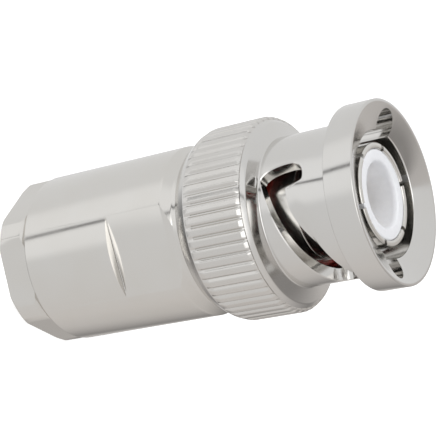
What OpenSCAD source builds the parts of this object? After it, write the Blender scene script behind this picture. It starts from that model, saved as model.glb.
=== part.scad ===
// Bayonet coupling plug for coaxial cable, cable-clamp type.
// The plug stands on the rear face of its clamp nut, at Z = 0, and its mating end points along +Z.
// Depths are measured down from the front face of the coupling shell.
// Azimuths are in degrees from +X towards +Y.

/* [Overall] */
// Length from the rear face of the clamp nut to the front face of the coupling shell
total_len = 33.3; // [32.6:0.1:36]
// Smoothness of the round surfaces
round_fn = 96; // [48:8:144]

/* [Coupling shell] */
// Diameter of the front flange
flange_d = 14.5; // [14.2:0.1:15.4]
// Length of the front flange
flange_len = 2.35; // [1.8:0.05:2.6]
// Depth of the dish turned into the front face
dish_depth = 0.8; // [0.2:0.05:1.0]
// Width of the flat rim outside the dish
rim_w = 0.12; // [0.05:0.01:0.4]
// Outer diameter of the slotted tube
tube_d = 12; // [11.8:0.1:12.4]
// Bore that takes the body of the mating jack
shell_bore_d = 9.9; // [9.8:0.02:10.1]
// Depth of the ring's front face below the front face of the shell
ring_depth = 8.42; // [8.35:0.01:8.8]
// Length of the knurled ring
ring_len = 7.05; // [6.8:0.05:7.3]
// Diameter over the knurl
ring_d = 15.7; // [15.5:0.1:16.6]
// Length of the smooth land in front of the knurl
front_land = 0.9; // [0.5:0.05:1.2]
// Length of the tapered land behind the knurl
rear_land = 1.75; // [1.2:0.05:2.0]
// Diameter of the ring's rear face
ring_rear_d = 13.9; // [13.7:0.1:14.4]
// Number of ridges in the knurl
knurl_count = 56; // [40:2:72]
// Height of the knurl's ridges
knurl_h = 0.28; // [0.1:0.02:0.34]
// Share of the knurl's pitch that is flat crest
crest_share = 0.24; // [0.1:0.02:0.4]
// Share of the knurl's pitch that is flat root
root_share = 0.16; // [0.08:0.02:0.3]

/* [Bayonet slots] */
// Width of the helical slots
slot_w = 2.3; // [2.1:0.05:2.4]
// Turn from the entry groove to the detent pocket
turn_angle = 99; // [88:1:105]
// Azimuth of the first detent pocket
pocket_azimuth = -27; // [-90:1:90]
// Depth of the pocket's centre
pocket_depth = 5.9; // [5.7:0.02:6.0]
// Depth of the slot's rear wall at the pocket
slot_depth = 8.36; // [8.2:0.01:8.36]
// Rise of the helical slots for a whole turn
slot_lead = 10.1; // [9:0.1:11]
// Diameter of the axial entry grooves
groove_d = 2.4; // [2.2:0.05:2.6]
// Radius at which the entry grooves are centred
groove_at = 5.5; // [5.3:0.05:5.6]
// Height of the detent that the stud rides over
detent_h = 0.25; // [0.1:0.05:0.3]
// Reach of the outer lip over the slot at the detent
lip_h = 0.7; // [0.4:0.05:0.75]
// Wall left under the dimple that is pressed beside the detent
lip_wall = 0.8; // [0.7:0.02:0.9]

/* [Outer contact] */
// Outer diameter of the spring fingers
contact_d = 8.1; // [8.0:0.02:8.2]
// Wall of the spring fingers
contact_wall = 0.48; // [0.4:0.02:0.55]
// Depth of the fingers' front ends below the front face of the shell
contact_depth = 0.95; // [0.9:0.05:1.4]
// Number of slots between the fingers
finger_slots = 6; // [4:1:8]
// Width of the slots between the fingers
finger_slot_w = 0.4; // [0.3:0.02:0.5]
// Length of the slots between the fingers
finger_slot_len = 5.6; // [4.5:0.1:6.5]
// Azimuth of the first slot
finger_azimuth = 8; // [0:1:60]
// Diameter of the collar that carries the coupling shell
collar_d = 12.4; // [12.2:0.1:12.6]
// Thickness of the collar
collar_t = 1.2; // [1.0:0.05:1.4]
// Diameter of the contact's root, which the gasket sits on
root_d = 8.5; // [8.45:0.05:8.7]
// Length of the contact that stands out of the gasket
finger_reach = 8.35; // [8.2:0.05:8.5]
// Diameter of the tail pressed into the plug body
tail_d = 8.8; // [8.6:0.05:9.2]
// Length of the tail
tail_len = 2.6; // [1.6:0.1:3]

/* [Gasket of the mating face] */
// Thickness of the silicone gasket
gasket_t = 1.7; // [1.3:0.05:1.9]
// Outer diameter of the silicone gasket
gasket_d = 9.6; // [9.4:0.02:9.7]

/* [Insulators and contact pin] */
// Depth of the front insulator's face below the front face of the shell
insulator_depth = 1.05; // [0.95:0.05:1.5]
// Bore of the front insulator around the pin
insulator_bore_d = 5.0; // [4.85:0.05:5.3]
// Depth of that bore
insulator_bore_len = 5.3; // [4.9:0.1:5.8]
// Bevel at the mouth of that bore
insulator_bevel = 0.2; // [0.1:0.05:0.4]
// Diameter of the pin where it enters the jack
pin_d = 1.37; // [1.3:0.01:1.4]
// Distance from the insulator's face down to the tip of the pin
pin_recess = 1.75; // [1.5:0.05:2.2]
// Diameter of the pin's shank, which holds the cable's wire
shank_d = 2.1; // [1.9:0.05:2.3]
// Diameter of the pin's shoulder
shoulder_d = 3.0; // [2.7:0.1:3.4]
// Thickness of the pin's shoulder
shoulder_t = 0.5; // [0.4:0.05:0.8]
// Height of the pin's rear end above the rear insulator's rear face
shank_inset = 0.6; // [0.4:0.1:1]
// Bore for the wire in the pin's tail
wire_bore_d = 1.05; // [0.9:0.05:1.2]
// Depth of the wire bore
wire_bore_len = 4; // [3:0.1:5]
// Length of the rear insulator
rear_insulator_len = 2.8; // [2.4:0.1:3.4]

/* [Plug body] */
// Diameter of the plug body
body_d = 14; // [13.9:0.02:14.2]
// Length of the chamfer at the front of the body
body_chamfer = 0.7; // [0.4:0.05:0.72]
// Height of the chamfer's front edge above the clamp nut's rear face
body_top = 17.1; // [16.9:0.05:17.2]
// Distance across the two wrench flats
flat_af = 12.3; // [12.0:0.05:12.5]
// Height of the wrench flats' rear ends
flat_bottom = 11.2; // [10.2:0.1:12.5]
// Azimuth of the first wrench flat
flat_azimuth = 6; // [-30:1:30]
// Length of the step that reaches into the coupling shell
step_len = 1.1; // [1.0:0.05:1.2]
// Diameter of the neck that carries the washers
neck_d = 10.4; // [10.0:0.1:10.6]
// Diameter of the threaded bore for the clamp nut
thread_d = 11; // [10.6:0.05:11.2]
// Height of the shoulder that the braid clamp seats on
clamp_seat = 13.1; // [12.8:0.1:13.3]

/* [Spring pack] */
// Thickness of the flat washers
washer_t = 0.3; // [0.2:0.02:0.34]
// Free height of the wave spring
wave_h = 0.9; // [0.75:0.05:1.0]
// Thickness of the wave spring's strip
wave_t = 0.2; // [0.15:0.01:0.22]
// Number of waves round the spring
wave_count = 4; // [3:1:5]
// Outer diameter of the washers and the wave spring
washer_d = 12.2; // [11.8:0.1:12.4]
// Thickness of the retaining ring
clip_t = 0.75; // [0.5:0.05:0.8]
// Opening of the retaining ring
clip_gap = 2; // [1:0.1:4]
// Depth of the groove that holds the retaining ring
clip_bite = 0.45; // [0.3:0.05:0.5]

/* [Cable clamp] */
// Distance across the clamp nut's flats
hex_af = 12; // [11.6:0.05:12.05]
// Length of the clamp nut's hexagon
hex_len = 2.9; // [2.5:0.05:3.2]
// Diameter of the hexagon's faces inside their chamfers
hex_face_d = 12.4; // [12.2:0.1:13]
// Length of the chamfers at the hexagon's corners
hex_chamfer = 0.6; // [0.3:0.05:0.8]
// Azimuth of the clamp nut's first corner
hex_azimuth = 32.5; // [0:0.5:60]
// Length of the clamp nut's thread
nut_thread_len = 5.2; // [4.5:0.1:5.4]
// Pitch of the clamp nut's thread
thread_pitch = 0.75; // [0.5:0.25:1]
// Cable entry bore
cable_d = 5.4; // [4.6:0.1:6.0]
// How much tighter the cable gasket's bore is than the nut's, on the radius
cable_grip = 0.25; // [0.2:0.05:0.3]
// How much wider the slip washer's bore is than the nut's, on the radius
slip_play = 0.25; // [0.2:0.05:0.3]
// Thickness of the slip washer
slip_t = 0.5; // [0.4:0.05:0.7]
// Diameter of the braid clamp's nose
clamp_nose_d = 6.8; // [6.4:0.1:7.2]
// Length of the braid clamp's nose
clamp_nose_len = 2.4; // [1.8:0.1:2.8]
// Wall at the tip of the braid clamp's nose
clamp_nose_wall = 0.3; // [0.2:0.05:0.4]
// Bore of the braid clamp, for the cable's inner insulation
clamp_bore_d = 3.1; // [3.0:0.05:3.4]
// Thickness of the braid clamp's collar
clamp_collar_t = 0.7; // [0.5:0.05:0.9]

/* [Fits] */
// Radial play of pieces that turn or slide on each other
run_gap = 0.05; // [0.03:0.01:0.08]
// Radial play of pieces that are pressed together
press_gap = 0.01; // [0:0.005:0.02]
// Radial play of loosely assembled pieces
loose_gap = 0.12; // [0.08:0.01:0.2]
// Width of the small bevels that break the edges
edge = 0.15; // [0.05:0.01:0.2]

/* [Hidden] */
$fn = round_fn;
// How far cutters run past the faces they open
over = 1;

// Heights of the shell's features
flange_bottom = total_len - flange_len;
ring_top = total_len - ring_depth;
ring_bottom = ring_top - ring_len;
knurl_top = ring_top - front_land;
knurl_bottom = ring_bottom + rear_land;
contact_top = total_len - contact_depth;
gasket_top = contact_top - finger_reach;
gasket_bottom = gasket_top - gasket_t;
collar_bottom = gasket_bottom - collar_t;
// The spring pack hangs under the collar, top to bottom
thrust_bottom = collar_bottom - washer_t;
wave_bottom = thrust_bottom - wave_h;
seat_bottom = wave_bottom - washer_t;
clip_bottom = seat_bottom - clip_t;
// The step of the body centres the shell, whose bore there also takes the washers
step_d = body_d - 2 * body_chamfer;
cavity_d = step_d + 2 * run_gap;
groove_bottom_d = cavity_d + 2 * clip_bite;
neck_bottom = body_top + step_len;
tail_bottom = collar_bottom - tail_len;
// Front insulator, rear insulator and pin
insulator_top = total_len - insulator_depth;
insulator_floor = insulator_top - insulator_bore_len;
insulator_d = contact_d - 2 * contact_wall - 2 * press_gap;
rear_insulator_top = clamp_seat + rear_insulator_len;
pin_top = insulator_top - pin_recess;
shank_bottom = clamp_seat + shank_inset;
// Cable clamp, from the nut up
nut_thread_top = hex_len + nut_thread_len;
slip_top = nut_thread_top + slip_t;
clamp_collar_bottom = clamp_seat - clamp_collar_t;
clamp_nose_bottom = clamp_collar_bottom - clamp_nose_len;

// A washer or sleeve from z0 to z1
module ring_solid(d_out, d_in, z0, z1) {
    translate([0, 0, z0]) difference() {
        cylinder(h = z1 - z0, d = d_out);
        translate([0, 0, -over]) cylinder(h = z1 - z0 + 2 * over, d = d_in);
    }
}

// Solid turned from a half profile of [radius, height] points
module turned(profile) {
    rotate_extrude() polygon(profile);
}

// ---- Coupling shell ----

// Half profile of the shell, without knurl and slots
module shell_profile() {
    turned([
        [shell_bore_d / 2, gasket_bottom],
        [shell_bore_d / 2, total_len - dish_depth - edge],
        [shell_bore_d / 2 + edge, total_len - dish_depth],
        [flange_d / 2 - rim_w - edge, total_len],
        [flange_d / 2 - edge, total_len],
        [flange_d / 2, total_len - edge],
        [flange_d / 2, flange_bottom + edge],
        [flange_d / 2 - edge, flange_bottom],
        [tube_d / 2, flange_bottom],
        [tube_d / 2, ring_top],
        [ring_d / 2 - 2 * edge, ring_top],
        [ring_d / 2 - edge / 2, ring_top - edge],
        [ring_d / 2 - edge / 2, knurl_top],
        [ring_d / 2, knurl_top - edge],
        [ring_d / 2, knurl_bottom],
        [ring_rear_d / 2, ring_bottom],
        [cavity_d / 2, ring_bottom],
        [cavity_d / 2, clip_bottom],
        [groove_bottom_d / 2, clip_bottom],
        [groove_bottom_d / 2, seat_bottom],
        [cavity_d / 2, seat_bottom],
        [cavity_d / 2, gasket_bottom]
    ]);
}

// What is cut away between the ridges of the knurl, as one ring with inward teeth
module knurl_cut() {
    step = 360 / knurl_count;
    root_r = ring_d / 2 - knurl_h;
    // The flanks rise from the root and would meet outside the ring, which leaves narrow flat crests
    tip_r = root_r + knurl_h * (1 - root_share) / (1 - root_share - crest_share);
    translate([0, 0, knurl_bottom - over])
        linear_extrude(knurl_top - edge - knurl_bottom + over) difference() {
            circle(r = tip_r + over);
            polygon([for (k = [0:knurl_count - 1])
                for (c = [[root_r, root_share / 2], [tip_r, 0.5], [root_r, 1 - root_share / 2]])
                    c[0] * [cos((k + c[1]) * step), sin((k + c[1]) * step)]]);
        }
}

// Arc length on the tube for an angle from the pocket
function arc(t) = t * PI / 180 * tube_d / 2;
function angle_of(s) = s * 180 / PI / (tube_d / 2);
slot_r = slot_w / 2;
slot_end = arc(turn_angle);
function helix_depth(t) = slot_depth - slot_lead * t / 360;
// Round end of radius slot_r about an arc position, zero outside it
function round_end(ds) = sqrt(max(0, slot_r * slot_r - ds * ds));
pocket_end_depth = slot_depth - slot_r;
entry_depth = helix_depth(turn_angle) - slot_r;
// How far the entry groove runs past the middle of the slot's round end
groove_past = 0.2;

// Depth of the slot's rear wall at angle t from the pocket
function rear_wall(t) =
    arc(t) < 0 ? pocket_end_depth + round_end(arc(t)) :
    arc(t) > slot_end ? entry_depth + round_end(arc(t) - slot_end) :
    helix_depth(t);

// Share of the detent's height at angle t from the pocket
detent_mid = 25;
detent_half = 28;
function detent_share(t) =
    abs(t - detent_mid) < detent_half ? cos(90 * (t - detent_mid) / detent_half) : 0;

// Depth of the slot's front wall, where the stud bears
function front_wall(t) =
    arc(t) < slot_r ? pocket_depth - round_end(arc(t)) :
    arc(t) > slot_end ? entry_depth - round_end(arc(t) - slot_end) :
    helix_depth(t) - slot_w + detent_h * detent_share(t);

// Depth of the outer lip's edge, which covers a corner of the pocket
lip_start = 4;
lip_full = 8;
// Small offset that keeps the points of a section apart
split = 0.03;
function lip_wall_depth(t) = helix_depth(t) - slot_w + lip_h * detent_share(t);
function lip_depth(t) =
    t <= lip_start || t >= detent_mid + detent_half ? front_wall(t) - split :
    t < lip_full ? front_wall(lip_start) + (lip_wall_depth(lip_full) - front_wall(lip_start))
        * (t - lip_start) / (lip_full - lip_start) :
    lip_wall_depth(t) - split;

// Depth of the dimple's outer edge
function dimple_edge(t) =
    t <= lip_start ? lip_depth(t) - split : min(lip_depth(t), pocket_depth - slot_r) - split;

// Radii of the cutter's section: inside the bore, under the lip, at the lip, and outside the tube
cut_in = shell_bore_d / 2 - over / 2;
cut_lip = shell_bore_d / 2 + lip_wall;
cut_under_lip = cut_lip - edge;
cut_past = over / 3;
cut_out = tube_d / 2 + cut_past;
function out_edge(t) =
    dimple_edge(t) - (lip_depth(t) - dimple_edge(t)) * cut_past / (tube_d / 2 - cut_lip);

// Angles of the cutter's sections: close together at the round ends and the pocket
stations = concat(
    [for (k = [0:5]) angle_of(-slot_r * cos(k * 18))],
    [2, 4, 5, 6, 7, 8, 9, 10, 11.5],
    [for (t = [15:4:turn_angle - 4]) t],
    [for (k = [0:5]) turn_angle + angle_of(slot_r * sin(k * 17))]
);

function section_point(t, r, depth) = [
    r * cos(pocket_azimuth + t), r * sin(pocket_azimuth + t), total_len - depth
];
function section(t) = [
    section_point(t, cut_in, rear_wall(t)),
    section_point(t, cut_out, rear_wall(t)),
    section_point(t, cut_out, out_edge(t)),
    section_point(t, cut_lip, lip_depth(t)),
    section_point(t, cut_under_lip, front_wall(t)),
    section_point(t, cut_in, front_wall(t))
];

// Solid skinned over rings of points that all have the same count
module skinned(rings) {
    n = len(rings[0]);
    last = len(rings) - 1;
    polyhedron(
        points = [for (ring = rings) for (p = ring) p],
        faces = concat(
            [[for (i = [n - 1:-1:0]) i]],
            [for (j = [0:last - 1]) for (i = [0:n - 1]) [
                j * n + i, j * n + (i + 1) % n, (j + 1) * n + (i + 1) % n, (j + 1) * n + i
            ]],
            [[for (i = [0:n - 1]) last * n + i]]
        ),
        convexity = 6
    );
}

// Helical slot with the detent pocket at one end and the round end at the entry groove
module helical_slot() {
    skinned([for (t = stations) section(t)]);
}

// Axial groove in the bore that lets the jack's stud in
module entry_groove() {
    rotate(pocket_azimuth + turn_angle)
        translate([groove_at, 0, total_len - entry_depth - groove_past])
            cylinder(h = entry_depth + groove_past + over, d = groove_d);
}

module coupling_shell() {
    color("silver") difference() {
        shell_profile();
        knurl_cut();
        for (side = [0, 180])
            rotate(side) helical_slot();
        for (side = [0, 180])
            rotate(side) entry_groove();
    }
}

// ---- Spring pack ----

module retaining_ring() {
    color("dimgray") difference() {
        ring_solid(groove_bottom_d - 2 * run_gap, neck_d + 4 * loose_gap, clip_bottom, seat_bottom);
        translate([0, -clip_gap / 2, clip_bottom - over])
            cube([groove_bottom_d, clip_gap, clip_t + 2 * over]);
    }
}

module seat_washer() {
    color("lightgray") ring_solid(washer_d, neck_d + 2 * run_gap, seat_bottom, wave_bottom);
}

module wave_spring() {
    steps = 72;
    swing = (wave_h - wave_t) / 2;
    mid = wave_bottom + wave_h / 2;
    r_in = neck_d / 2 + loose_gap;
    r_out = washer_d / 2 - loose_gap;
    points = [for (k = [0:steps - 1])
        let (a = k * 360 / steps, z = mid + swing * cos(a * wave_count))
        for (c = [[r_in, -1], [r_out, -1], [r_out, 1], [r_in, 1]])
            [c[0] * cos(a), c[0] * sin(a), z + c[1] * wave_t / 2]];
    faces = [for (k = [0:steps - 1]) for (i = [0:3])
        let (next = (k + 1) % steps)
        [k * 4 + i, next * 4 + i, next * 4 + (i + 1) % 4, k * 4 + (i + 1) % 4]];
    color("goldenrod") polyhedron(points = points, faces = faces, convexity = 6);
}

module thrust_washer() {
    color("lightgray") ring_solid(washer_d, neck_d + 2 * run_gap, thrust_bottom, collar_bottom);
}

// ---- Plug body and what it holds ----

module plug_body() {
    color("silver") difference() {
        turned([
            [thread_d / 2, hex_len],
            [body_d / 2 - edge, hex_len],
            [body_d / 2, hex_len + edge],
            [body_d / 2, body_top - body_chamfer],
            [step_d / 2, body_top],
            [step_d / 2, neck_bottom],
            [neck_d / 2, neck_bottom],
            [neck_d / 2, collar_bottom],
            [tail_d / 2, collar_bottom],
            [tail_d / 2, tail_bottom],
            [insulator_d / 2 + press_gap, tail_bottom],
            [insulator_d / 2 + press_gap, clamp_seat],
            [thread_d / 2, clamp_seat]
        ]);
        for (side = [0, 180])
            rotate(flat_azimuth + side)
                translate([flat_af / 2, -body_d / 2, flat_bottom])
                    cube([body_d, body_d, body_top - flat_bottom]);
    }
}

module outer_contact() {
    finger_in = contact_d / 2 - contact_wall;
    color("lightgray") difference() {
        turned([
            [finger_in, tail_bottom],
            [tail_d / 2 - press_gap, tail_bottom],
            [tail_d / 2 - press_gap, collar_bottom],
            [collar_d / 2, collar_bottom],
            [collar_d / 2, gasket_bottom],
            [root_d / 2, gasket_bottom],
            [root_d / 2, gasket_top],
            [contact_d / 2, gasket_top],
            [contact_d / 2, contact_top - edge],
            [contact_d / 2 - edge, contact_top],
            [finger_in, contact_top]
        ]);
        for (k = [0:finger_slots - 1])
            rotate(finger_azimuth + k * 360 / finger_slots)
                translate([finger_in - over, -finger_slot_w / 2, contact_top - finger_slot_len])
                    cube([contact_wall + 2 * over, finger_slot_w, finger_slot_len + over]);
    }
}

module mating_gasket() {
    bead = (gasket_d - root_d) / 4;
    color("firebrick") turned([
        [root_d / 2, gasket_bottom],
        [gasket_d / 2, gasket_bottom],
        [gasket_d / 2, gasket_top - bead],
        [gasket_d / 2 - bead, gasket_top],
        [root_d / 2, gasket_top]
    ]);
}

module front_insulator() {
    color("white") turned([
        [shank_d / 2 + press_gap, rear_insulator_top],
        [insulator_d / 2, rear_insulator_top],
        [insulator_d / 2, insulator_top - edge],
        [insulator_d / 2 - edge, insulator_top],
        [insulator_bore_d / 2 + insulator_bevel, insulator_top],
        [insulator_bore_d / 2, insulator_top - insulator_bevel],
        [insulator_bore_d / 2, insulator_floor],
        [shank_d / 2 + press_gap, insulator_floor]
    ]);
}

module contact_pin() {
    tip_r = pin_d / 2;
    color("gold") difference() {
        turned([
            [0, shank_bottom],
            [shank_d / 2, shank_bottom],
            [shank_d / 2, rear_insulator_top - shoulder_t],
            [shoulder_d / 2, rear_insulator_top - shoulder_t],
            [shoulder_d / 2, rear_insulator_top],
            [shank_d / 2, rear_insulator_top],
            [shank_d / 2, insulator_floor],
            [tip_r, insulator_floor],
            [tip_r, pin_top - tip_r],
            [tip_r * 3 / 4, pin_top - tip_r / 4],
            [tip_r / 3, pin_top],
            [0, pin_top]
        ]);
        translate([0, 0, shank_bottom - over]) cylinder(h = wire_bore_len + over, d = wire_bore_d);
    }
}

module rear_insulator() {
    color("white") turned([
        [shank_d / 2 + press_gap, clamp_seat],
        [insulator_d / 2, clamp_seat],
        [insulator_d / 2, rear_insulator_top],
        [shoulder_d / 2 + press_gap, rear_insulator_top],
        [shoulder_d / 2 + press_gap, rear_insulator_top - shoulder_t],
        [shank_d / 2 + press_gap, rear_insulator_top - shoulder_t]
    ]);
}

// ---- Cable clamp ----

module braid_clamp() {
    color("peru") turned([
        [clamp_bore_d / 2, clamp_nose_bottom],
        [clamp_bore_d / 2 + clamp_nose_wall, clamp_nose_bottom],
        [clamp_nose_d / 2, clamp_collar_bottom],
        [thread_d / 2 - loose_gap, clamp_collar_bottom],
        [thread_d / 2 - loose_gap, clamp_seat],
        [clamp_bore_d / 2, clamp_seat]
    ]);
}

// The gasket grips the cable, so its bore is tighter than the nut's; its cone follows the nose
module cable_gasket() {
    bore_r = cable_d / 2 - cable_grip;
    mouth_r = clamp_nose_d / 2 + loose_gap;
    slope = (clamp_nose_d - clamp_bore_d - 2 * clamp_nose_wall) / 2 / clamp_nose_len;
    color("dimgray") turned([
        [bore_r, slip_top],
        [thread_d / 2 - loose_gap, slip_top],
        [thread_d / 2 - loose_gap, clamp_collar_bottom],
        [mouth_r, clamp_collar_bottom],
        [bore_r, clamp_collar_bottom - (mouth_r - bore_r) / slope]
    ]);
}

module slip_washer() {
    color("lightgray")
        ring_solid(thread_d - 2 * loose_gap, cable_d + 2 * slip_play, nut_thread_top, slip_top);
}

module clamp_nut() {
    corner_r = hex_af / 2 / cos(30);
    mouth = 2 * edge;
    color("silver") difference() {
        union() {
            intersection() {
                rotate(hex_azimuth) cylinder(h = hex_len, r = corner_r, $fn = 6);
                turned([
                    [0, 0],
                    [hex_face_d / 2, 0],
                    [corner_r, hex_chamfer],
                    [corner_r + edge, hex_chamfer],
                    [corner_r + edge, hex_len - hex_chamfer],
                    [corner_r, hex_len - hex_chamfer],
                    [hex_face_d / 2, hex_len],
                    [0, hex_len]
                ]);
            }
            cylinder(h = nut_thread_top, d = thread_d - 2 * run_gap);
        }
        translate([0, 0, -over]) cylinder(h = nut_thread_top + 2 * over, d = cable_d);
        translate([0, 0, -over])
            cylinder(h = over + mouth, d1 = cable_d + 2 * (over + mouth), d2 = cable_d);
    }
}

coupling_shell();
retaining_ring();
seat_washer();
wave_spring();
thrust_washer();
plug_body();
outer_contact();
mating_gasket();
front_insulator();
contact_pin();
rear_insulator();
braid_clamp();
cable_gasket();
slip_washer();
clamp_nut();
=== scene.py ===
import math

import bmesh
import bpy
from mathutils import Matrix, Vector


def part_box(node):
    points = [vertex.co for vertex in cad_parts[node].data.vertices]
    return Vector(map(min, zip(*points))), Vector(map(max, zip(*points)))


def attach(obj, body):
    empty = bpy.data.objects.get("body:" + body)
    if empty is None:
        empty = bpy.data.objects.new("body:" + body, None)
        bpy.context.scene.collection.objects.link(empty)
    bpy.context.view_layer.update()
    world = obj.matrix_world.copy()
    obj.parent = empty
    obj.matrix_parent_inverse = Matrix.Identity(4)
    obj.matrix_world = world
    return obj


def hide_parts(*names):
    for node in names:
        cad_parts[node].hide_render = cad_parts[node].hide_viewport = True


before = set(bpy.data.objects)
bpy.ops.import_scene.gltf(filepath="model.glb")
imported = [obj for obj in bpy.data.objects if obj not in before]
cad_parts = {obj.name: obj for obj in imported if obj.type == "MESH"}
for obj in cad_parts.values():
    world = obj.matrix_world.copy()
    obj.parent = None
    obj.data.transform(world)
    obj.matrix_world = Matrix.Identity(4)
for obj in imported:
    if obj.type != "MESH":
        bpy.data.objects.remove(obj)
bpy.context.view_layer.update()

# ---------------------------------------------------------------------------
# Studio. A pale table with the plug standing on its clamp nut, a white room
# round it, and two large soft lamps. The camera looks down on the mating end.
# ---------------------------------------------------------------------------
scene = bpy.context.scene
scene.view_settings.view_transform = "Standard"

camera_place = Vector((0.1044, 0.0, 0.0795))
camera_target = Vector((0.0, -0.0006, 0.0177))
axis_tilt = math.radians(11.7)       # the plug's axis rises this much in the picture

back = (camera_place - camera_target).normalized()
along = (Vector((0, 0, 1)) - back * back.z).normalized()
across = back.cross(along)
right = along * math.cos(axis_tilt) - across * math.sin(axis_tilt)
up = back.cross(right)
camera_data = bpy.data.cameras.new("camera")
camera_data.lens = 122.7
camera_data.sensor_width = 36.0
camera_data.clip_start = 0.005
camera_data.clip_end = 5.0
camera = bpy.data.objects.new("camera", camera_data)
camera.matrix_world = Matrix.Translation(camera_place) @ Matrix((right, up, back)).transposed().to_4x4()
scene.collection.objects.link(camera)
scene.camera = camera

# Table: a wide disc, white to the eye, which still takes the soft shadow
table_mesh = bpy.data.meshes.new("table")
form = bmesh.new()
bmesh.ops.create_circle(form, cap_ends=True, segments=96, radius=0.6)
form.to_mesh(table_mesh)
form.free()
table = bpy.data.objects.new("table", table_mesh)
scene.collection.objects.link(table)
table.visible_glossy = False
paper = bpy.data.materials.new("white_table")
paper.use_nodes = True
nodes, links = paper.node_tree.nodes, paper.node_tree.links
nodes.clear()
surface = nodes.new("ShaderNodeOutputMaterial")
matt = nodes.new("ShaderNodeBsdfDiffuse")
matt.inputs["Color"].default_value = (0.8, 0.8, 0.8, 1)
glow = nodes.new("ShaderNodeEmission")
glow.inputs["Strength"].default_value = 0.6
rays = nodes.new("ShaderNodeLightPath")
both = nodes.new("ShaderNodeAddShader")
seen = nodes.new("ShaderNodeMixShader")
links.new(matt.outputs[0], both.inputs[0])
links.new(glow.outputs[0], both.inputs[1])
links.new(rays.outputs["Is Camera Ray"], seen.inputs[0])
links.new(matt.outputs[0], seen.inputs[1])
links.new(both.outputs[0], seen.inputs[2])
links.new(seen.outputs[0], surface.inputs["Surface"])
table_mesh.materials.append(paper)

# Room: white to the eye; what the metal mirrors is a bright tent with a soft
# fall-off on one side, a narrow gap between its panels, and a lamp above
# the camera; straight below lies the shade under the plug
world = bpy.data.worlds.new("room")
scene.world = world
world.use_nodes = True
nodes, links = world.node_tree.nodes, world.node_tree.links
nodes.clear()
out = nodes.new("ShaderNodeOutputWorld")
where = nodes.new("ShaderNodeTexCoord")
parts = nodes.new("ShaderNodeSeparateXYZ")
links.new(where.outputs["Generated"], parts.inputs[0])
turn = nodes.new("ShaderNodeMath")
turn.operation = "ARCTAN2"
links.new(parts.outputs["Y"], turn.inputs[0])
links.new(parts.outputs["X"], turn.inputs[1])
share = nodes.new("ShaderNodeMapRange")
share.inputs["From Min"].default_value = -math.pi
share.inputs["From Max"].default_value = math.pi
links.new(turn.outputs[0], share.inputs["Value"])
tent = nodes.new("ShaderNodeValToRGB")
tent_panels = [  # azimuth in degrees, brightness
    (-180, 0.78), (-84, 0.80), (-72, 0.93), (-45, 0.96), (-43.2, 0.14), (-40.8, 0.14),
    (-39, 0.96), (-16, 0.93), (-5, 0.76), (60, 0.73), (90, 0.70), (114, 0.62),
    (126, 0.52), (138, 0.39), (150, 0.26), (164, 0.58),
]
ramp = tent.color_ramp
while len(ramp.elements) < len(tent_panels):
    ramp.elements.new(0.5)
for stop, (azimuth, level) in zip(ramp.elements, tent_panels):
    stop.position = (azimuth + 180) / 360
    warm = max(0.0, min(1.0, (azimuth - 30) / 60))
    stop.color = (level, level * (1 - 0.04 * warm), level * (1 - 0.07 * warm), 1)
links.new(share.outputs[0], tent.inputs[0])
toward = nodes.new("ShaderNodeVectorMath")  # how near a direction lies to the lamp's
toward.operation = "DOT_PRODUCT"
toward.inputs[1].default_value = Vector((0.82, 0.05, 0.57)).normalized()
links.new(where.outputs["Generated"], toward.inputs[0])
overhead = nodes.new("ShaderNodeMapRange")
overhead.interpolation_type = "SMOOTHSTEP"
overhead.inputs["From Min"].default_value = 0.84
overhead.inputs["From Max"].default_value = 0.98
overhead.inputs["To Min"].default_value = 1.0
overhead.inputs["To Max"].default_value = 2.4
links.new(toward.outputs["Value"], overhead.inputs["Value"])
lamp_lit = nodes.new("ShaderNodeMixRGB")
lamp_lit.blend_type = "MULTIPLY"
lamp_lit.inputs[0].default_value = 1.0
links.new(tent.outputs["Color"], lamp_lit.inputs[1])
links.new(overhead.outputs["Result"], lamp_lit.inputs[2])
below = nodes.new("ShaderNodeMapRange")  # the table's shaded middle, straight below
below.inputs["From Min"].default_value = -0.98
below.inputs["From Max"].default_value = -0.89
below.inputs["To Min"].default_value = 0.3
below.inputs["To Max"].default_value = 1.0
links.new(parts.outputs["Z"], below.inputs["Value"])
mirrored = nodes.new("ShaderNodeBackground")
links.new(lamp_lit.outputs[0], mirrored.inputs["Color"])
links.new(below.outputs["Result"], mirrored.inputs["Strength"])
plain = nodes.new("ShaderNodeBackground")
plain.inputs["Color"].default_value = (1, 1, 1, 1)
plain.inputs["Strength"].default_value = 0.40
white = nodes.new("ShaderNodeBackground")
white.inputs["Color"].default_value = (1, 1, 1, 1)
white.inputs["Strength"].default_value = 1.0
rays = nodes.new("ShaderNodeLightPath")
metal_sees = nodes.new("ShaderNodeMixShader")
eye_sees = nodes.new("ShaderNodeMixShader")
links.new(rays.outputs["Is Glossy Ray"], metal_sees.inputs[0])
links.new(plain.outputs[0], metal_sees.inputs[1])
links.new(mirrored.outputs[0], metal_sees.inputs[2])
links.new(rays.outputs["Is Camera Ray"], eye_sees.inputs[0])
links.new(metal_sees.outputs[0], eye_sees.inputs[1])
links.new(white.outputs[0], eye_sees.inputs[2])
links.new(eye_sees.outputs[0], out.inputs["Surface"])


def soft_lamp(name, place, size, watts):
    """A square soft box aimed at the middle of the plug."""
    data = bpy.data.lights.new(name, "AREA")
    data.size = size
    data.energy = watts
    lamp = bpy.data.objects.new(name, data)
    lamp.location = place
    aim = Vector((0, 0, 0.018)) - Vector(place)
    lamp.rotation_euler = aim.to_track_quat("-Z", "Y").to_euler()
    lamp.visible_glossy = False
    scene.collection.objects.link(lamp)


soft_lamp("key_lamp", (0.05, -0.22, 0.26), 0.22, 0.62)
soft_lamp("fill_lamp", (0.16, 0.16, 0.22), 0.25, 0.32)

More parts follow.
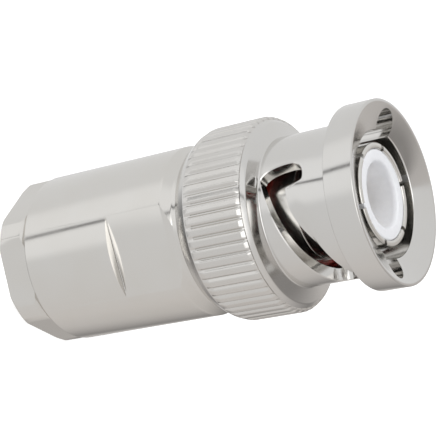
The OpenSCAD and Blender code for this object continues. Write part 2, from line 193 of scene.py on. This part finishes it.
# ---------------------------------------------------------------------------
# Coupling shell. Turned from one brass bar, bored, slotted and pressed beside
# each detent, then bright nickel plated. It runs on the plug body's step.
# ---------------------------------------------------------------------------
mm = 0.001
shell_lo, shell_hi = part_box("coupling_shell")
front_z = shell_hi[2]                 # front face of the flange
ring_rear_z = shell_lo[2]
knurl_r = shell_hi[0]

flange_r, flange_len, dish_depth = 7.25 * mm, 2.35 * mm, 0.8 * mm
tube_r, bore_r = 6.0 * mm, 4.95 * mm
ring_z, ring_chamfer, ring_cone = front_z - 8.9 * mm, 0.6 * mm, 0.38 * mm
knurl_root_r = knurl_r - 0.18 * mm
knurl_rear_z = ring_rear_z + 1.75 * mm
run_r, collar_seat_z = 6.35 * mm, 22.3 * mm
groove_r, groove_lo, groove_hi = 6.8 * mm, 18.85 * mm, 19.6 * mm
rim_w, ring_rear_r, taper_len = 0.27 * mm, knurl_r - 0.9 * mm, 0.55 * mm


def eased(points, radius):
    """The closed profile with each corner rounded off by up to radius."""
    result = []
    count = len(points)
    for index, corner in enumerate(points):
        before = Vector(points[index - 1]) - Vector(corner)
        after = Vector(points[(index + 1) % count]) - Vector(corner)
        reach = min(radius, before.length * 0.45, after.length * 0.45)
        if reach < 1e-6 or corner[0] < 1e-6:
            result.append(tuple(corner))
            continue
        start = Vector(corner) + before.normalized() * reach
        end = Vector(corner) + after.normalized() * reach
        for k in range(5):
            s = k / 4
            result.append(tuple(start * (1 - s) ** 2 + Vector(corner) * 2 * s * (1 - s) + end * s * s))
    return result


def turned(name, points, radius=0.05 * mm, steps=240):
    """A piece turned on the lathe: the closed profile of (radius, height) points, spun about Z."""
    rim = eased(points, radius)
    form = bmesh.new()
    rings = []
    for k in range(steps):
        a = 2 * math.pi * k / steps
        rings.append([form.verts.new((r * math.cos(a), r * math.sin(a), z)) for r, z in rim])
    for k in range(steps):
        one, two = rings[k], rings[(k + 1) % steps]
        for i in range(len(rim)):
            j = (i + 1) % len(rim)
            form.faces.new((one[i], one[j], two[j], two[i]))
    bmesh.ops.remove_doubles(form, verts=form.verts, dist=1e-7)
    bmesh.ops.dissolve_degenerate(form, edges=form.edges, dist=1e-8)
    bmesh.ops.recalc_face_normals(form, faces=form.faces)
    return made(name, form)


def made(name, form):
    """Turns the bmesh into a linked object at the origin, smooth but for its sharp edges."""
    mesh = bpy.data.meshes.new(name)
    form.to_mesh(mesh)
    form.free()
    mesh.shade_smooth()
    mesh.set_sharp_from_angle(angle=math.radians(32))
    piece = bpy.data.objects.new(name, mesh)
    scene.collection.objects.link(piece)
    return piece


def settle(piece):
    """Makes the modifiers' result the piece's plain mesh."""
    graph = bpy.context.evaluated_depsgraph_get()
    mesh = bpy.data.meshes.new_from_object(piece.evaluated_get(graph))
    piece.modifiers.clear()
    piece.data = mesh
    return piece


def cut(piece, cutters):
    """Machines the cutters' shapes out of the piece and clears them away."""
    for cutter in cutters:
        tool = piece.modifiers.new("cut", "BOOLEAN")
        tool.operation = "DIFFERENCE"
        tool.solver = "EXACT"
        tool.object = cutter
    settle(piece)
    for cutter in cutters:
        bpy.data.objects.remove(cutter)
    piece.data.shade_smooth()
    piece.data.set_sharp_from_angle(angle=math.radians(32))
    return piece


shell = turned("shell", [
    (bore_r, collar_seat_z),
    (bore_r, front_z - dish_depth),
    (flange_r - rim_w, front_z),
    (flange_r, front_z),
    (flange_r, front_z - flange_len),
    (tube_r, front_z - flange_len),
    (tube_r, ring_z + ring_cone),
    (knurl_r - ring_chamfer, ring_z),
    (knurl_root_r, ring_z - ring_chamfer + (knurl_r - knurl_root_r)),
    (knurl_root_r, knurl_rear_z - taper_len),
    (ring_rear_r, ring_rear_z),
    (run_r, ring_rear_z),
    (run_r, groove_lo),
    (groove_r, groove_lo),
    (groove_r, groove_hi),
    (run_r, groove_hi),
    (run_r, collar_seat_z),
], radius=0.09 * mm, steps=360)

# Slot sizes, in millimetres and degrees; s is an arc length on the tube
slot_w, slot_lead, slot_turn = 2.3, 10.1, 99.0
pocket_azimuth, pocket_depth, slot_depth = -27.0, 5.9, 8.36
detent_mid, detent_half, detent_h, lip_h = 25.0, 28.0, 0.25, 0.7
dimple_reach, dimple_drop, slot_break = 1.45, 0.15, 0.07
press_from, press_run = 3.5, 5.0      # the lip leaves the pocket over this much of the turn
tool_past, tool_in_bore = 0.3, 0.4    # how far the cutter reaches out of the tube and into the bore
groove_tool_r, groove_at = 1.2, 5.5
entry_depth = slot_depth - slot_lead * slot_turn / 360 - slot_w / 2


def slot_arc(t):
    return math.radians(t) * tube_r / mm


def smooth_step(x):
    x = max(0.0, min(1.0, x))
    return x * x * (3 - 2 * x)


def detent_share(t):
    """Share of the detent's height at angle t from the pocket."""
    if abs(t - detent_mid) >= detent_half:
        return 0.0
    return math.cos(math.pi / 2 * (t - detent_mid) / detent_half)


def pressed_share(t):
    """Share of the dimple's depth at angle t, which starts beside the pocket."""
    return smooth_step((t - press_from) / press_run)


def slot_walls(t, grow):
    """Depths of the slot's front and rear walls at angle t from the pocket, grown all round."""
    radius = slot_w / 2 + grow
    s = slot_arc(t)
    end = slot_arc(slot_turn)
    helix = slot_depth - slot_lead * t / 360
    if s > end:
        bulge = math.sqrt(max(0.0, radius ** 2 - (s - end) ** 2))
        return entry_depth - bulge, entry_depth + bulge
    bulge = math.sqrt(max(0.0, radius ** 2 - s ** 2))
    corner = pocket_depth + (slot_depth + grow - pocket_depth) * bulge / radius
    rear = corner if s < 0 else helix + grow
    side = helix - slot_w - grow + detent_h * detent_share(t)
    front = pocket_depth - bulge if s < slot_w / 2 - 0.12 else side
    return front, rear


def lip_edge(t):
    """Depth of the outer lip, which is pressed over the slot beside the detent."""
    front = slot_walls(t, 0)[0]
    pressed = slot_depth - slot_lead * t / 360 - slot_w + lip_h * detent_share(t)
    if t > detent_mid + detent_half:
        return front
    return front + (pressed - front) * pressed_share(t)


def slot_station(kind, value, grow):
    """Angle from the pocket of a station: on the pocket's end, along the slot, or on the entry's end."""
    reach = math.degrees((slot_w / 2 + grow) * mm / tube_r)
    if kind == "pocket":
        return -reach * math.cos(math.radians(value))
    if kind == "entry":
        return slot_turn + reach * math.sin(math.radians(value))
    return value


slot_stations = [("pocket", v) for v in range(4, 90, 8)]
slot_stations += [("slot", 0.75 * v) for v in range(0, 16)]
slot_stations += [("slot", 12.0 + 1.5 * v) for v in range(0, 59)]
slot_stations += [("entry", v) for v in range(0, 88, 8)]


def slot_cutter(side):
    """The end mill's path and the press mark beside it, as one solid to cut away."""
    form = bmesh.new()
    rows = []
    curve_steps = 12
    for kind, value in slot_stations:
        base = slot_station(kind, value, 0)
        pressed = detent_share(base) * pressed_share(base)
        lip = lip_edge(base)
        lip_r = tube_r / mm - slot_break - dimple_drop * pressed
        width = slot_break + dimple_reach * pressed
        ring = []

        def put(radius, grow, which):
            t = slot_station(kind, value, grow)
            front, rear = slot_walls(t, grow)
            ring.append((radius, t, rear if which == "rear" else front))

        put(bore_r / mm - tool_in_bore, slot_break + tool_in_bore, "rear")
        put(bore_r / mm + slot_break, 0, "rear")
        put(tube_r / mm - slot_break, 0, "rear")
        put(tube_r / mm + tool_past, slot_break + tool_past, "rear")
        grown = slot_station(kind, value, slot_break + tool_past)
        ring.append((tube_r / mm + tool_past, grown, lip - width - tool_past))
        for k in range(curve_steps + 1):
            u = k / curve_steps
            drop = math.sin(math.pi / 2 * u) ** 2.6
            t = slot_station(kind, value, slot_break * (1 - u))
            ring.append((tube_r / mm - (tube_r / mm - lip_r) * drop, t, lip - width * (1 - u)))
        under = 0.3 * pressed
        ring.append((lip_r - under - 0.01, base, lip))
        put(lip_r - under - 0.1, 0, "front")
        put(bore_r / mm + slot_break, 0, "front")
        put(bore_r / mm - tool_in_bore, slot_break + tool_in_bore, "front")
        row = []
        for radius, t, depth in ring:
            a = math.radians(pocket_azimuth + side + t)
            across, height = radius * mm, front_z - depth * mm
            row.append(form.verts.new((across * math.cos(a), across * math.sin(a), height)))
        rows.append(row)
    count = len(rows[0])
    for one, two in zip(rows, rows[1:]):
        for i in range(count):
            j = (i + 1) % count
            form.faces.new((one[i], one[j], two[j], two[i]))
    form.faces.new(rows[0])
    form.faces.new(list(reversed(rows[-1])))
    bmesh.ops.recalc_face_normals(form, faces=form.faces)
    bmesh.ops.triangulate(form, faces=form.faces)
    return made("slot_tool", form)


def groove_cutter(side):
    """The drill that opens the stud's way in through the flange."""
    a = math.radians(pocket_azimuth + slot_turn + side)
    above, past = 1.1, 0.1             # beyond the front face, and past the slot's middle
    middle = front_z + (above - past - entry_depth) / 2 * mm
    form = bmesh.new()
    bmesh.ops.create_cone(
        form, cap_ends=True, segments=48, radius1=groove_tool_r * mm, radius2=groove_tool_r * mm,
        depth=(entry_depth + above + past) * mm,
        matrix=Matrix.Translation((groove_at * mm * math.cos(a), groove_at * mm * math.sin(a), middle)),
    )
    return made("groove_tool", form)


cut(shell, [slot_cutter(0), slot_cutter(180), groove_cutter(0), groove_cutter(180)])


def turning_marks():
    """Shared finish detail: fine rings left by the lathe, and the faint clouding of handled plate."""
    group = bpy.data.node_groups.new("turning_marks", "ShaderNodeTree")
    face = group.interface
    ring_in = face.new_socket("Rings per metre", in_out="INPUT", socket_type="NodeSocketFloat")
    ring_in.default_value = 4000
    cloud_in = face.new_socket("Clouds per metre", in_out="INPUT", socket_type="NodeSocketFloat")
    cloud_in.default_value = 300
    face.new_socket("Rings", in_out="OUTPUT", socket_type="NodeSocketFloat")
    face.new_socket("Clouds", in_out="OUTPUT", socket_type="NodeSocketFloat")
    nodes, links = group.nodes, group.links
    given = nodes.new("NodeGroupInput")
    result = nodes.new("NodeGroupOutput")
    place = nodes.new("ShaderNodeTexCoord")
    split = nodes.new("ShaderNodeSeparateXYZ")
    flat = nodes.new("ShaderNodeCombineXYZ")
    radius = nodes.new("ShaderNodeVectorMath")
    radius.operation = "LENGTH"
    links.new(place.outputs["Object"], split.inputs[0])
    links.new(split.outputs["X"], flat.inputs["X"])
    links.new(split.outputs["Y"], flat.inputs["Y"])
    links.new(flat.outputs[0], radius.inputs[0])
    lathe = nodes.new("ShaderNodeCombineXYZ")
    links.new(radius.outputs["Value"], lathe.inputs["X"])
    links.new(split.outputs["Z"], lathe.inputs["Y"])
    rings = nodes.new("ShaderNodeTexNoise")
    rings.inputs["Detail"].default_value = 2.0
    links.new(given.outputs["Rings per metre"], rings.inputs["Scale"])
    links.new(lathe.outputs[0], rings.inputs["Vector"])
    clouds = nodes.new("ShaderNodeTexNoise")
    clouds.inputs["Detail"].default_value = 4.0
    clouds.inputs["Roughness"].default_value = 0.6
    links.new(given.outputs["Clouds per metre"], clouds.inputs["Scale"])
    links.new(place.outputs["Object"], clouds.inputs["Vector"])
    links.new(rings.outputs["Fac"], result.inputs["Rings"])
    links.new(clouds.outputs["Fac"], result.inputs["Clouds"])
    return group


marks_group = turning_marks()


def plated(name, colour, rough, ring_depth, rings=4000, cloud=0.06, tint=(0.97, 0.955, 0.93)):
    """Turned and plated metal: colour and gloss drift with the clouding, and the rings are relief."""
    material = bpy.data.materials.new(name)
    material.use_nodes = True
    nodes, links = material.node_tree.nodes, material.node_tree.links
    body = nodes["Principled BSDF"]
    body.inputs["Metallic"].default_value = 1.0
    marks = nodes.new("ShaderNodeGroup")
    marks.node_tree = marks_group
    marks.inputs["Rings per metre"].default_value = rings
    tone = nodes.new("ShaderNodeMix")
    tone.data_type = "RGBA"
    tone.inputs["A"].default_value = (*colour, 1)
    tone.inputs["B"].default_value = (*(c * t for c, t in zip(colour, tint)), 1)
    links.new(marks.outputs["Clouds"], tone.inputs["Factor"])
    links.new(tone.outputs["Result"], body.inputs["Base Color"])
    gloss = nodes.new("ShaderNodeMapRange")
    gloss.inputs["From Min"].default_value = 0.3
    gloss.inputs["From Max"].default_value = 0.7
    gloss.inputs["To Min"].default_value = rough - cloud
    gloss.inputs["To Max"].default_value = rough + cloud
    links.new(marks.outputs["Clouds"], gloss.inputs["Value"])
    links.new(gloss.outputs["Result"], body.inputs["Roughness"])
    relief = nodes.new("ShaderNodeBump")
    relief.inputs["Strength"].default_value = 1.0
    relief.inputs["Distance"].default_value = ring_depth
    links.new(marks.outputs["Rings"], relief.inputs["Height"])
    links.new(relief.outputs["Normal"], body.inputs["Normal"])
    return material


shell_nickel = plated("shell_nickel", (0.73, 0.725, 0.715), 0.13, 0.5e-6, rings=2500, cloud=0.03)
shell.data.materials.clear()
shell.data.materials.append(shell_nickel)
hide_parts("coupling_shell")
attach(shell, "coupling")

# ---------------------------------------------------------------------------
# Knurl. Rolled into the ring of the coupling shell: rounded ridges that run
# out on the ring's front chamfer and on the tapered land behind.
# ---------------------------------------------------------------------------
knurl_count = 56


def ring_of_copies():
    """A tree that sets copies of the piece round the Z axis, evenly spaced."""
    tree = bpy.data.node_groups.new("ring_of_copies", "GeometryNodeTree")
    face = tree.interface
    face.new_socket("Piece", in_out="INPUT", socket_type="NodeSocketGeometry")
    face.new_socket("Count", in_out="INPUT", socket_type="NodeSocketInt")
    face.new_socket("First angle", in_out="INPUT", socket_type="NodeSocketFloat")
    face.new_socket("Finish", in_out="INPUT", socket_type="NodeSocketMaterial")
    face.new_socket("Ring", in_out="OUTPUT", socket_type="NodeSocketGeometry")
    nodes, links = tree.nodes, tree.links
    given = nodes.new("NodeGroupInput")
    result = nodes.new("NodeGroupOutput")
    points = nodes.new("GeometryNodePoints")
    index = nodes.new("GeometryNodeInputIndex")
    step = nodes.new("ShaderNodeMath")
    step.operation = "DIVIDE"
    step.inputs[0].default_value = 2 * math.pi
    angle = nodes.new("ShaderNodeMath")
    angle.operation = "MULTIPLY_ADD"
    turn = nodes.new("ShaderNodeCombineXYZ")
    copies = nodes.new("GeometryNodeInstanceOnPoints")
    real = nodes.new("GeometryNodeRealizeInstances")
    finish = nodes.new("GeometryNodeSetMaterial")
    links.new(given.outputs["Count"], points.inputs["Count"])
    links.new(given.outputs["Count"], step.inputs[1])
    links.new(index.outputs[0], angle.inputs[0])
    links.new(step.outputs[0], angle.inputs[1])
    links.new(given.outputs["First angle"], angle.inputs[2])
    links.new(angle.outputs[0], turn.inputs["Z"])
    links.new(points.outputs[0], copies.inputs["Points"])
    links.new(given.outputs["Piece"], copies.inputs["Instance"])
    links.new(turn.outputs[0], copies.inputs["Rotation"])
    links.new(copies.outputs[0], real.inputs[0])
    links.new(real.outputs[0], finish.inputs["Geometry"])
    links.new(given.outputs["Finish"], finish.inputs["Material"])
    links.new(finish.outputs[0], result.inputs[0])
    return tree


ring_tree = ring_of_copies()


def input_names(tree):
    """Identifiers of the tree's inputs, by name."""
    return {item.name: item.identifier for item in tree.interface.items_tree if item.in_out == "INPUT"}


def set_in_ring(piece, count, first_angle, material):
    """Repeats the piece round the axis with the tree, and keeps the result as a plain mesh."""
    tool = piece.modifiers.new("ring", "NODES")
    tool.node_group = ring_tree
    names = input_names(ring_tree)
    tool[names["Count"]] = count
    tool[names["First angle"]] = first_angle
    tool[names["Finish"]] = material
    return settle(piece)


pitch = 2 * math.pi * knurl_r / knurl_count
ridge_half, crest_half = 0.46 * pitch, 0.25 * pitch
ridge_h = knurl_r - knurl_root_r
sink = 0.12 * mm
form = bmesh.new()
rows = []
crest_z = ring_z - ring_chamfer
for z, rise in [
    (crest_z + 0.3 * mm, 0.02), (crest_z + 0.16 * mm, 0.44), (crest_z + 0.04 * mm, 0.86),
    (crest_z - 0.04 * mm, 0.98), (crest_z - 0.15 * mm, 1.0), (knurl_rear_z + 0.1 * mm, 1.0),
    (knurl_rear_z - 0.02 * mm, 0.95), (knurl_rear_z - 0.5 * mm, 0.02),
]:
    row = [form.verts.new((knurl_root_r - sink, -ridge_half, z))]
    for k in range(13):
        y = ridge_half * (k / 6 - 1)
        flank = max(0.0, (abs(y) - crest_half) / (ridge_half - crest_half))
        height = ridge_h * rise * math.cos(math.pi / 2 * flank) ** 2 - y * y / (2 * knurl_r)
        row.append(form.verts.new((knurl_root_r + height, y, z)))
    row.append(form.verts.new((knurl_root_r - sink, ridge_half, z)))
    rows.append(row)
for one, two in zip(rows, rows[1:]):
    for i in range(len(one)):
        j = (i + 1) % len(one)
        form.faces.new((one[i], one[j], two[j], two[i]))
form.faces.new(rows[0])
form.faces.new(list(reversed(rows[-1])))
bmesh.ops.recalc_face_normals(form, faces=form.faces)
knurl = made("knurl_ridges", form)
knurl_nickel = plated("knurl_nickel", (0.73, 0.72, 0.705), 0.2, 0.8e-6, rings=2500, cloud=0.04)
set_in_ring(knurl, knurl_count, 0.0, knurl_nickel)
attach(knurl, "coupling")

# ---------------------------------------------------------------------------
# Plug body. Turned brass with two wrench flats milled across the front, satin
# nickel plated. The shell runs on its step and the clamp nut screws into it.
# ---------------------------------------------------------------------------
body_lo, body_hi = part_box("plug_body")
body_r = 7.0 * mm
body_top_z, body_chamfer = 17.1 * mm, 0.7 * mm
thread_r, clamp_seat_z, tail_z = 5.5 * mm, 13.1 * mm, 18.5 * mm
step_z, neck_r, tail_r, inner_r = 18.2 * mm, 5.2 * mm, 4.4 * mm, 3.57 * mm
flat_half, flat_bottom_z, flat_azimuth = 6.15 * mm, 11.2 * mm, math.radians(6)
flat_fillet, flat_past = 0.1 * mm, 1 * mm

plug_body = turned("body", [
    (thread_r, body_lo[2]),
    (body_r, body_lo[2]),
    (body_r, body_top_z - body_chamfer),
    (body_r - body_chamfer, body_top_z),
    (body_r - body_chamfer, step_z),
    (neck_r, step_z),
    (neck_r, body_hi[2]),
    (tail_r, body_hi[2]),
    (tail_r, tail_z),
    (inner_r, tail_z),
    (inner_r, clamp_seat_z),
    (thread_r, clamp_seat_z),
], radius=0.12 * mm, steps=300)


def flat_cutter(side):
    """The end mill that leaves one wrench flat, with a little radius where it stops."""
    form = bmesh.new()
    low, high = flat_bottom_z, body_top_z + 0.01 * mm
    inset = flat_fillet * 0.3
    outline = [(flat_half, high), (flat_half, low + flat_fillet), (flat_half + inset, low + inset),
               (flat_half + flat_fillet, low), (body_r + flat_past, low), (body_r + flat_past, high)]
    ends = []
    for y in (-body_r, body_r):
        ends.append([form.verts.new((x, y, z)) for x, z in outline])
    for i in range(len(outline)):
        j = (i + 1) % len(outline)
        form.faces.new((ends[0][i], ends[0][j], ends[1][j], ends[1][i]))
    form.faces.new(list(reversed(ends[0])))
    form.faces.new(ends[1])
    bmesh.ops.recalc_face_normals(form, faces=form.faces)
    turn = Matrix.Rotation(flat_azimuth + side, 3, "Z")
    bmesh.ops.rotate(form, verts=form.verts, cent=(0, 0, 0), matrix=turn)
    return made("flat_tool", form)


cut(plug_body, [flat_cutter(0.0), flat_cutter(math.pi)])
body_nickel = plated("body_nickel", (0.745, 0.735, 0.715), 0.13, 0.4e-6, rings=2000, cloud=0.03)
plug_body.data.materials.clear()
plug_body.data.materials.append(body_nickel)
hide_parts("plug_body")
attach(plug_body, "plug")

# ---------------------------------------------------------------------------
# Outer contact. Spring bronze tube, nickel plated, sawn into six fingers above
# its root; its collar carries the shell and its tail is pressed into the body.
# ---------------------------------------------------------------------------
contact_lo, contact_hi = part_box("outer_contact")
finger_out, finger_in = 4.05 * mm, 3.57 * mm
contact_collar_r, root_r = 6.2 * mm, 4.25 * mm
collar_lo, collar_hi, gasket_top_z = 21.1 * mm, 22.3 * mm, 24.0 * mm
saw_z, saw_w, finger_count = contact_hi[2] - 5.6 * mm, 0.4 * mm, 6
finger_first = math.radians(8)

contact = turned("contact_root", [
    (finger_in, contact_lo[2]),
    (tail_r - 0.01 * mm, contact_lo[2]),
    (tail_r - 0.01 * mm, collar_lo),
    (contact_collar_r, collar_lo),
    (contact_collar_r, collar_hi),
    (root_r, collar_hi),
    (root_r, gasket_top_z),
    (finger_out, gasket_top_z),
    (finger_out, saw_z),
    (finger_in, saw_z),
], radius=0.05 * mm)
contact_nickel = plated("contact_nickel", (0.78, 0.77, 0.745), 0.22, 1.5e-6)
contact.data.materials.append(contact_nickel)
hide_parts("outer_contact")
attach(contact, "plug")

tip = eased([
    (finger_in, saw_z), (finger_out, saw_z), (finger_out, contact_hi[2]), (finger_in, contact_hi[2]),
], 0.14 * mm)
half_saw = math.asin(saw_w / 2 / finger_out)
span = 2 * math.pi / finger_count - 2 * half_saw
form = bmesh.new()
rows = []
for k in range(25):
    a = half_saw + span * k / 24
    rows.append([form.verts.new((r * math.cos(a), r * math.sin(a), max(z, saw_z))) for r, z in tip])
for one, two in zip(rows, rows[1:]):
    for i in range(len(tip)):
        j = (i + 1) % len(tip)
        form.faces.new((one[i], one[j], two[j], two[i]))
form.faces.new(rows[0])
form.faces.new(list(reversed(rows[-1])))
bmesh.ops.remove_doubles(form, verts=form.verts, dist=1e-7)
bmesh.ops.recalc_face_normals(form, faces=form.faces)
fingers = made("contact_fingers", form)
set_in_ring(fingers, finger_count, finger_first, contact_nickel)
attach(fingers, "plug")

# ---------------------------------------------------------------------------
# Mating gasket. A red silicone ring pushed over the contact's root, which the
# jack's rim squeezes. Its outer edge is rounded by the mould.
# ---------------------------------------------------------------------------
gasket_lo, gasket_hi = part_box("mating_gasket")
gasket = turned("gasket", [
    (root_r, gasket_lo[2]),
    (gasket_hi[0], gasket_lo[2]),
    (gasket_hi[0], gasket_hi[2]),
    (root_r, gasket_hi[2]),
], radius=0.22 * mm)


def moulded(name, colour, rough, grain, relief_depth):
    """Moulded rubber or turned plastic: a fine grain in the relief and a slight drift of tone."""
    material = bpy.data.materials.new(name)
    material.use_nodes = True
    nodes, links = material.node_tree.nodes, material.node_tree.links
    body = nodes["Principled BSDF"]
    body.inputs["Roughness"].default_value = rough
    place = nodes.new("ShaderNodeTexCoord")
    noise = nodes.new("ShaderNodeTexNoise")
    noise.inputs["Scale"].default_value = grain
    noise.inputs["Detail"].default_value = 3.0
    links.new(place.outputs["Object"], noise.inputs["Vector"])
    tone = nodes.new("ShaderNodeMix")
    tone.data_type = "RGBA"
    tone.inputs["A"].default_value = (*colour, 1)
    tone.inputs["B"].default_value = (*(c * 0.9 for c in colour), 1)
    links.new(noise.outputs["Fac"], tone.inputs["Factor"])
    links.new(tone.outputs["Result"], body.inputs["Base Color"])
    relief = nodes.new("ShaderNodeBump")
    relief.inputs["Distance"].default_value = relief_depth
    links.new(noise.outputs["Fac"], relief.inputs["Height"])
    links.new(relief.outputs["Normal"], body.inputs["Normal"])
    return material


red_silicone = moulded("red_silicone", (0.85, 0.07, 0.045), 0.35, 1500, 3e-6)
gasket.data.materials.append(red_silicone)
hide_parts("mating_gasket")
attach(gasket, "plug")

# ---------------------------------------------------------------------------
# Insulators. Turned from white plastic rod: the front one fills the fingers
# and has a deep bore round the pin, the rear one holds the pin's shoulder.
# ---------------------------------------------------------------------------
insulator_lo, insulator_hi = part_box("front_insulator")
insulator_r, insulator_bore_r = insulator_hi[0], 2.5 * mm
bore_floor_z, shank_r = insulator_hi[2] - 5.3 * mm, 1.06 * mm
insulator = turned("insulator", [
    (shank_r, insulator_lo[2]),
    (insulator_r, insulator_lo[2]),
    (insulator_r, insulator_hi[2]),
    (insulator_bore_r + 0.12 * mm, insulator_hi[2]),
    (insulator_bore_r, insulator_hi[2] - 0.3 * mm),
    (insulator_bore_r, bore_floor_z),
    (shank_r, bore_floor_z),
], radius=0.16 * mm)
white_plastic = moulded("white_plastic", (0.89, 0.90, 0.93), 0.42, 2500, 2e-6)
insulator.data.materials.append(white_plastic)
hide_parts("front_insulator")
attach(insulator, "plug")


def dress(node, material):
    """Gives the CAD node its finish."""
    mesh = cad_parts[node].data
    mesh.materials.clear()
    mesh.materials.append(material)


dress("rear_insulator", white_plastic)

# ---------------------------------------------------------------------------
# Contact pin. Turned brass, gold plated, with a rounded tip deep inside the
# insulator's bore and a hollow tail for the cable's wire.
# ---------------------------------------------------------------------------
gold_plate = plated("gold_plate", (0.92, 0.70, 0.33), 0.22, 1.5e-6, tint=(0.96, 0.92, 0.86))
dress("contact_pin", gold_plate)

# ---------------------------------------------------------------------------
# Clamp nut. Hexagonal brass nut, chamfered at both faces and satin nickel
# plated, with a threaded spigot that squeezes the cable gasket.
# ---------------------------------------------------------------------------
nut_lo, nut_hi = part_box("clamp_nut")
hex_half, hex_face_r, hex_back_r = 6.3 * mm, 6.2 * mm, 6.6 * mm
hex_corner_r = 6.92 * mm
hex_top_z, cable_r, spigot_r = 2.9 * mm, 2.7 * mm, 5.45 * mm
hex_chamfer, bore_mouth, hex_azimuth = 0.6 * mm, 0.3 * mm, 62.5
thread_pitch, thread_depth, thread_start = 0.75 * mm, 0.34 * mm, 0.6 * mm

nut = turned("nut", [
    (cable_r + bore_mouth, nut_lo[2]),
    (hex_back_r, nut_lo[2]),
    (hex_corner_r, nut_lo[2] + hex_chamfer / 2),
    (hex_corner_r, hex_top_z - hex_chamfer),
    (hex_face_r, hex_top_z),
    (spigot_r - thread_depth, hex_top_z),
    (spigot_r - thread_depth, nut_hi[2]),
    (cable_r, nut_hi[2]),
    (cable_r, nut_lo[2] + bore_mouth),
], radius=0.05 * mm, steps=300)


def hex_cutter(side):
    """One face of the hexagon, milled off square to the axis."""
    form = bmesh.new()
    depth, width, below_face = 1.5 * mm, 12 * mm, 0.5 * mm
    bmesh.ops.create_cube(form, size=1.0, matrix=(
        Matrix.Rotation(math.radians(hex_azimuth + 60 * side), 4, "Z")
        @ Matrix.Translation((hex_half + depth / 2, 0, (hex_top_z - below_face) / 2))
        @ Matrix.Diagonal((depth, width, hex_top_z + below_face, 1))
    ))
    return made("hex_tool", form)


cut(nut, [hex_cutter(k) for k in range(6)])
nut.data.materials.clear()
nut.data.materials.append(body_nickel)
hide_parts("clamp_nut")
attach(nut, "nut")


def screw_thread():
    """A tree that winds a ridge of triangular section round the Z axis."""
    tree = bpy.data.node_groups.new("screw_thread", "GeometryNodeTree")
    face = tree.interface
    face.new_socket("Piece", in_out="INPUT", socket_type="NodeSocketGeometry")
    for name in ("Radius", "Pitch", "Turns", "Ridge", "Foot"):
        face.new_socket(name, in_out="INPUT", socket_type="NodeSocketFloat")
    face.new_socket("Finish", in_out="INPUT", socket_type="NodeSocketMaterial")
    face.new_socket("Thread", in_out="OUTPUT", socket_type="NodeSocketGeometry")
    nodes, links = tree.nodes, tree.links
    given = nodes.new("NodeGroupInput")
    result = nodes.new("NodeGroupOutput")
    spiral = nodes.new("GeometryNodeCurveSpiral")
    spiral.inputs["Resolution"].default_value = 48
    height = nodes.new("ShaderNodeMath")
    height.operation = "MULTIPLY"
    lift = nodes.new("ShaderNodeCombineXYZ")
    raised = nodes.new("GeometryNodeSetPosition")
    section = nodes.new("GeometryNodeCurvePrimitiveCircle")
    section.inputs["Resolution"].default_value = 4
    swept = nodes.new("GeometryNodeCurveToMesh")
    swept.inputs["Fill Caps"].default_value = True
    finish = nodes.new("GeometryNodeSetMaterial")
    real = nodes.new("GeometryNodeRealizeInstances")
    links.new(given.outputs["Radius"], spiral.inputs["Start Radius"])
    links.new(given.outputs["Radius"], spiral.inputs["End Radius"])
    links.new(given.outputs["Turns"], spiral.inputs["Rotations"])
    links.new(given.outputs["Pitch"], height.inputs[0])
    links.new(given.outputs["Turns"], height.inputs[1])
    links.new(height.outputs[0], spiral.inputs["Height"])
    links.new(given.outputs["Foot"], lift.inputs["Z"])
    links.new(spiral.outputs[0], raised.inputs["Geometry"])
    links.new(lift.outputs[0], raised.inputs["Offset"])
    links.new(given.outputs["Ridge"], section.inputs["Radius"])
    links.new(raised.outputs[0], swept.inputs["Curve"])
    links.new(section.outputs[0], swept.inputs["Profile Curve"])
    links.new(swept.outputs[0], real.inputs[0])
    links.new(real.outputs[0], finish.inputs["Geometry"])
    links.new(given.outputs["Finish"], finish.inputs["Material"])
    links.new(finish.outputs[0], result.inputs[0])
    return tree


thread_tree = screw_thread()
thread = bpy.data.objects.new("nut_thread", bpy.data.meshes.new("nut_thread"))
scene.collection.objects.link(thread)
tool = thread.modifiers.new("thread", "NODES")
tool.node_group = thread_tree
names = input_names(thread_tree)
thread_ridge = 0.3 * mm
thread_foot = hex_top_z + thread_start
tool[names["Radius"]] = spigot_r - thread_ridge
tool[names["Pitch"]] = thread_pitch
tool[names["Turns"]] = (nut_hi[2] - thread_foot - thread_ridge) / thread_pitch
tool[names["Ridge"]] = thread_ridge
tool[names["Foot"]] = thread_foot
tool[names["Finish"]] = body_nickel
settle(thread)
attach(thread, "nut")

# ---------------------------------------------------------------------------
# Spring pack. Two plain washers and a phosphor bronze wave spring slipped on
# the body's neck, held up by the steel retaining ring in the shell's groove.
# ---------------------------------------------------------------------------
washer_nickel = plated("washer_nickel", (0.70, 0.69, 0.66), 0.34, 2e-6)
spring_bronze = plated("spring_bronze", (0.72, 0.52, 0.34), 0.30, 2e-6)
spring_steel = plated("spring_steel", (0.33, 0.33, 0.34), 0.35, 2e-6)
dress("seat_washer", washer_nickel)
dress("thrust_washer", washer_nickel)
dress("wave_spring", spring_bronze)
dress("retaining_ring", spring_steel)

# ---------------------------------------------------------------------------
# Cable clamp. Bare brass braid clamp with its coned nose, the black rubber
# gasket that grips the cable, and the slip washer that the nut pushes on.
# ---------------------------------------------------------------------------
bare_brass = plated("bare_brass", (0.78, 0.61, 0.33), 0.30, 3e-6, tint=(0.9, 0.85, 0.8))
black_rubber = moulded("black_rubber", (0.03, 0.03, 0.03), 0.55, 1200, 8e-6)
dress("braid_clamp", bare_brass)
dress("cable_gasket", black_rubber)
dress("slip_washer", washer_nickel)
